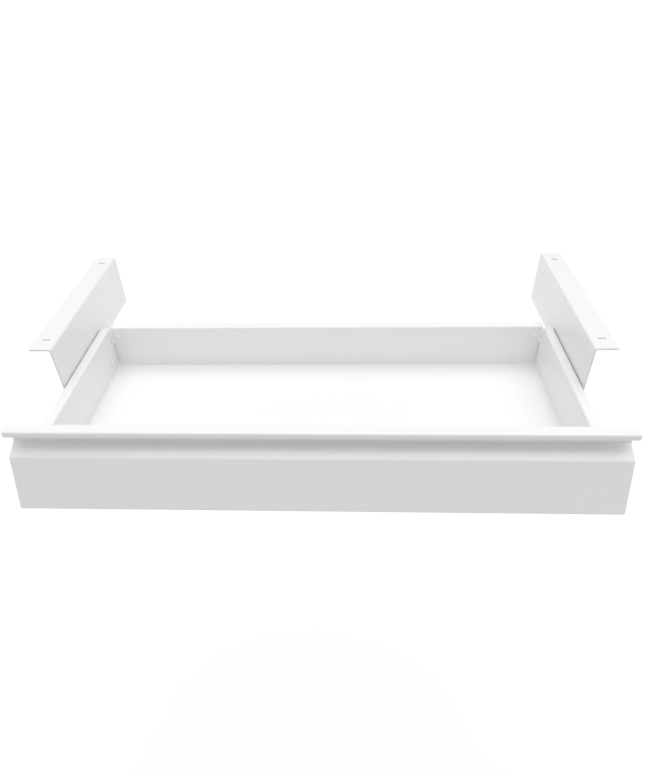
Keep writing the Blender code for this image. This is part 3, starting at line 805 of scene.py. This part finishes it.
for word in SIDES:
    low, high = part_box(f"{word}_slide_end_cap")
    fresh_start()
    bpy.ops.mesh.primitive_cube_add(size=1, location=(low + high) / 2)
    cap = bpy.context.object
    cap.scale = high - low
    set_place(cap)
    for height in (low[2], high[2]):
        for x in (low[0], high[0]):
            choose(cap, at(x=x, z=height))
            bpy.ops.mesh.bevel(offset=CAP_EDGE, segments=4, affect="EDGES")
    choose(cap, at(y=low[1]), "FACE")
    bpy.ops.mesh.inset(thickness=CAP_BORDER, depth=-CAP_SINK)
    bpy.ops.object.mode_set(mode="OBJECT")
    coat(soften(cap, width=CAP_SOFT_EDGE), nylon)
    finish_piece(cap, "drawer", f"{word}_slide_end_cap")


# %% [markdown]
# ## Round things
# Stops, screws and rivets are all turned or headed, so each starts as a disc that stands upright at
# the origin. Its rim is rounded and its ends are stepped by insets. A finished master is copied to
# the place of each solid, along the way that the solid faces.

# %% Discs, rims and steps
def disc(name, radius, bottom, top, sides=32):
    """A short cylinder on the Z axis."""
    fresh_start()
    bpy.ops.mesh.primitive_cylinder_add(vertices=sides, radius=radius, depth=top - bottom,
                                        location=(0, 0, (top + bottom) / 2))
    bpy.context.object.name = name
    return set_place(bpy.context.object)


def round_rim(piece, height, radius, segments=4):
    """Round the rim at a height."""
    choose(piece, at(z=height))
    bpy.ops.mesh.bevel(offset=radius, segments=segments, affect="EDGES")
    bpy.ops.object.mode_set(mode="OBJECT")


def step(piece, height, *insets):
    """Inset the flat end at a height again and again; each inset gives a width and a rise."""
    choose(piece, at(z=height), "FACE")
    for width, rise in insets:
        bpy.ops.mesh.inset(thickness=width, depth=rise)
    bpy.ops.object.mode_set(mode="OBJECT")


def stand(master, node_name, way, end_height, spin=0.0):
    """Copy a master, drawn upright on the Z axis, to the place of a solid and along its way."""
    low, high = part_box(node_name)
    seat = (low + high) / 2
    along = max(range(3), key=lambda i: abs(way[i]))
    crown = high[along] if way[along] > 0 else low[along]
    seat[along] = crown - way[along] * end_height
    copy = master.copy()
    copy.data = master.data.copy()
    bpy.context.collection.objects.link(copy)
    aim = Vector(way).to_track_quat("Z", "Y").to_matrix().to_4x4()
    copy.matrix_world = Matrix.Translation(seat) @ aim @ Matrix.Rotation(spin, 4, "Z")
    bpy.context.view_layer.update()
    return set_place(copy)


FINE_EDGE = 0.00008           # how far small headed and moulded edges are rounded
print("small edges are rounded by", round(1000 * FINE_EDGE, 2), "mm")

# %% [markdown]
# ## Closing stops
# Two low rubber buttons behind the panel meet the rails when the drawer is shut. The crown of each
# has a shallow dish, which is where the mould's ejector pin pushed.

# %% Closing stops
STOP_RADIUS = 0.0040
STOP_THICKNESS = 0.0015
STOP_EDGE = 0.0004
STOP_BORDER = 0.0012
DISH_SLOPE = 0.0003
DISH_DEPTH = 0.00025

stop_master = disc("stop", STOP_RADIUS, FIT, STOP_THICKNESS)
round_rim(stop_master, STOP_THICKNESS, STOP_EDGE)
step(stop_master, STOP_THICKNESS, (STOP_BORDER, 0), (DISH_SLOPE, -DISH_DEPTH))
coat(soften(stop_master, width=FINE_EDGE), rubber)
for word in SIDES:
    name = f"{word}_closing_stop"
    finish_piece(stand(stop_master, name, (0, 1, 0), STOP_THICKNESS), "drawer", name)
bpy.data.objects.remove(stop_master, do_unlink=True)

# %% [markdown]
# ## Screws and rivets
# A pan head screw is a disc with a generously rounded rim, a shank, and a cross recess that tapers
# towards its floor. One master is made for each shank length, and each copy is turned by its own
# angle, because no one lines up screws by hand. The rivets have a low dome, built from insets.

# %% Screw and rivet masters
RECESS_SPAN = 0.0046
RECESS_WIDTH = 0.0012
RECESS_DEPTH = 0.0017
RECESS_TAPER = 0.35           # width at the foot of the cone over its width at the top
HEAD_RIM = 0.0012
SHANK_CHAMFER = 0.0004
DOME_STEPS = ((0.08, 0.22), (0.14, 0.20), (0.20, 0.17), (0.25, 0.11), (0.20, 0.05))


def cross_recess(top):
    """Two tapered blades that cut a cross into a head."""
    blades = []
    for turn in (0, math.pi / 2):
        fresh_start()
        bpy.ops.mesh.primitive_cone_add(vertices=4, radius1=RECESS_TAPER, radius2=1,
                                        depth=2 * RECESS_DEPTH, rotation=(0, 0, math.pi / 4))
        blade = set_place(bpy.context.object)
        half = max(v.co.x for v in blade.data.vertices)
        blade.scale = (RECESS_SPAN / 2 / half, RECESS_WIDTH / 2 / half, 1)
        set_place(blade)
        blade.location.z = top
        blade.rotation_euler.z = turn
        blades.append(set_place(blade))
    return blades


def pan_head_screw(grip, finish):
    """A pan head screw on the Z axis, its seat at zero."""
    screw = disc("screw", SCREW_HEAD_RADIUS, FIT, SCREW_HEAD_HEIGHT, sides=40)
    step(screw, FIT, (SCREW_HEAD_RADIUS - SCREW_RADIUS, 0), (0, FIT + grip))
    round_rim(screw, SCREW_HEAD_HEIGHT, HEAD_RIM, segments=6)
    round_rim(screw, -grip, SHANK_CHAMFER, segments=2)
    cut(screw, cross_recess(SCREW_HEAD_HEIGHT))
    return coat(soften(screw, width=FINE_EDGE), finish)


def domed_rivet(grip, finish, head_radius, head_height):
    """A rivet with a low dome, its seat at zero."""
    rim = FIT + head_height / 4
    rivet = disc("rivet", head_radius, FIT, rim)
    step(rivet, FIT, (head_radius - RIVET_RADIUS, 0), (0, FIT + grip))
    step(rivet, rim, *((head_radius * width, head_height * rise) for width, rise in DOME_STEPS))
    return coat(soften(rivet, width=FINE_EDGE), finish)


print("a dome is", len(DOME_STEPS), "insets")

# %% [markdown]
# A list says where each fixing faces, what it rides on, how much it grips and its finish. A slide's
# screws face outwards through the rail, and the back wall's and the panel's face into the tray.

# %% Fit the screws and rivets
FULL_TURN = 2 * math.pi
GOLDEN = 0.381966             # share of a turn from one screw to the next
RAIL_GRIP = RAIL_SHEET + FIT + SLIDE_SHEET
EAR_GRIP = 2 * SHEET + FIT
PANEL_GRIP = SHEET + BLIND_DEPTH
SLIDE_RIVET_GRIP = SLIDE_SHEET + FIT + BLIND_DEPTH

fixings = []
for word, side in SIDES.items():
    outward = (side, 0, 0)
    inward = (-side, 0, 0)
    for i in (1, 2, 3):
        fixings.append((f"{word}_rail_screw_{i}", outward, "rails", RAIL_GRIP, zinc_plate))
        fixings.append((f"{word}_slide_rivet_{i}", outward, "drawer", SLIDE_RIVET_GRIP, zinc_plate))
    fixings.append((f"{word}_back_wall_screw", inward, "drawer", EAR_GRIP, powder_coat))
    fixings.append((f"{word}_corner_rivet", (0, -1, 0), "drawer", EAR_GRIP, powder_coat))
for name in PANEL_SCREWS:
    fixings.append((name, (0, 1, 0), "drawer", PANEL_GRIP, powder_coat))

masters = {}
for i, (name, way, body, grip, finish) in enumerate(fixings):
    kind = (name.rstrip("_1234").split("_", 1)[1], grip)
    head_radius, head_height = RIVET_HEAD_RADIUS, RIVET_HEAD_HEIGHT
    if "corner" in name:
        head_radius, head_height = CORNER_RIVET_HEAD_RADIUS, CORNER_RIVET_HEAD_HEIGHT
    crown = FIT + head_height if "rivet" in name else SCREW_HEAD_HEIGHT
    if kind not in masters:
        masters[kind] = (domed_rivet(grip, finish, head_radius, head_height) if "rivet" in name
                         else pan_head_screw(grip, finish))
    finish_piece(stand(masters[kind], name, way, crown, spin=FULL_TURN * i * GOLDEN), body,
                 name)
for master in masters.values():
    bpy.data.objects.remove(master, do_unlink=True)
print("all pieces:", len(pieces), "of", len(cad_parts), "nodes")

# %% [markdown]
# ## Studio floor
# The drawer hangs from a desk, so the floor lies well below it. It is so wide that its far edge
# can't be told from the horizon. It is white under and behind the drawer, and in front it carries
# painted shade: a pale grey that stands in for a lamp behind leaving the front dim, so that a white
# floor there doesn't throw too much light up onto the sloping face.

# %% Floor
FLOOR_DROP = 1.2
FLOOR_SIZE = 160.0
FADE_FRONT = -0.9             # grey from here forward
FADE_BACK = -0.1              # white from here back

floor = flat_blank("studio_floor", (0, 0, -FLOOR_DROP), (FLOOR_SIZE, FLOOR_SIZE))
floor_paint, tree, shader = new_finish("matt_studio_floor_white_with_painted_front_shade", Roughness=0.9)
where = node(tree, "ShaderNodeTexCoord", {})
parts = node(tree, "ShaderNodeSeparateXYZ", {"Vector": where.outputs["Object"]})
fade = node(tree, "ShaderNodeMapRange", {"Value": parts.outputs["Y"], "From Min": FADE_FRONT,
                                         "From Max": FADE_BACK}, interpolation_type="SMOOTHSTEP")
# painted shade: the floor's colour fades from grey in front to white behind, in place of a lamp's
# light falling off towards the front
painted_front_shade = node(tree, "ShaderNodeValToRGB", {"Fac": fade.outputs["Result"]})
painted_front_shade.color_ramp.elements[0].color = linear("#D2D2D2")
painted_front_shade.color_ramp.elements[1].color = linear("#FFFFFF")
tree.links.new(painted_front_shade.outputs["Color"], shader.inputs["Base Color"])
coat(floor, floor_paint)
print("floor", FLOOR_SIZE, "m wide,", FLOOR_DROP, "m below the desk")

# %% [markdown]
# ## Soft light
# A very wide lamp shines from overhead, a little from behind, so the level surfaces are nearly
# white, the upright ones a light grey and no shadow has a hard edge. A dim sky that is brighter
# overhead than at the horizon fills the shadows.

# %% Sky and lamp
SKY_AT_HORIZON = 0.44
SKY_OVERHEAD = 0.70
LAMP_SPREAD = math.radians(60)        # how wide the lamp looks from the drawer
LAMP_FROM = Vector((0.05, 0.14, 1.0))
LAMP_STRENGTH = 1.36

world = bpy.data.worlds.new("studio_sky")
bpy.context.scene.world = world
world.use_nodes = True
background = world.node_tree.nodes["Background"]
background.inputs["Color"].default_value = (1.0, 1.0, 1.0, 1.0)
ways = node(world.node_tree, "ShaderNodeTexCoord", {})
heights = node(world.node_tree, "ShaderNodeSeparateXYZ", {"Vector": ways.outputs["Generated"]})
glow = node(world.node_tree, "ShaderNodeMapRange",
            {"Value": heights.outputs["Z"], "To Min": SKY_AT_HORIZON, "To Max": SKY_OVERHEAD})
world.node_tree.links.new(glow.outputs["Result"], background.inputs["Strength"])

lamp_data = bpy.data.lights.new("soft_lamp", "SUN")
lamp_data.angle = LAMP_SPREAD
lamp_data.energy = LAMP_STRENGTH
lamp = bpy.data.objects.new("soft_lamp", lamp_data)
bpy.context.collection.objects.link(lamp)
lamp.rotation_euler = (-LAMP_FROM).to_track_quat("-Z", "Y").to_euler()
print("sky", SKY_AT_HORIZON, "to", SKY_OVERHEAD, "and a lamp of", LAMP_STRENGTH)

# %% [markdown]
# ## Camera
# A wide lens stands close in front, above the drawer, and looks down into it. Its pitch, yaw and
# roll are turned into the three directions that a camera's matrix is made of.

# %% Camera
CAMERA_PLACE = Vector((0.03465, -0.6111, 0.3500))
CAMERA_LENS = 27.23
PITCH, YAW, ROLL = (math.radians(a) for a in (38.5583, -3.4497, 2.1141))

ahead = Vector((math.sin(YAW) * math.cos(PITCH), math.cos(YAW) * math.cos(PITCH),
                -math.sin(PITCH)))
level = Vector((math.cos(YAW), -math.sin(YAW), 0))
down = ahead.cross(level)
right = level * math.cos(ROLL) + down * math.sin(ROLL)
up = level * math.sin(ROLL) - down * math.cos(ROLL)

camera_data = bpy.data.cameras.new("camera")
camera_data.lens = CAMERA_LENS
camera_data.clip_start = 0.01
camera = bpy.data.objects.new("camera", camera_data)
bpy.context.collection.objects.link(camera)
turn = Matrix((right, up, -ahead)).transposed().to_4x4()
camera.matrix_world = Matrix.Translation(CAMERA_PLACE) @ turn
bpy.context.scene.camera = camera
bpy.context.scene.view_settings.view_transform = "Standard"
print("camera at", [round(c, 3) for c in CAMERA_PLACE])

# %% [markdown]
# ## Last step
# The dressed model has to fill the same box as the imported one.

# %% Let go of everything
fresh_start()
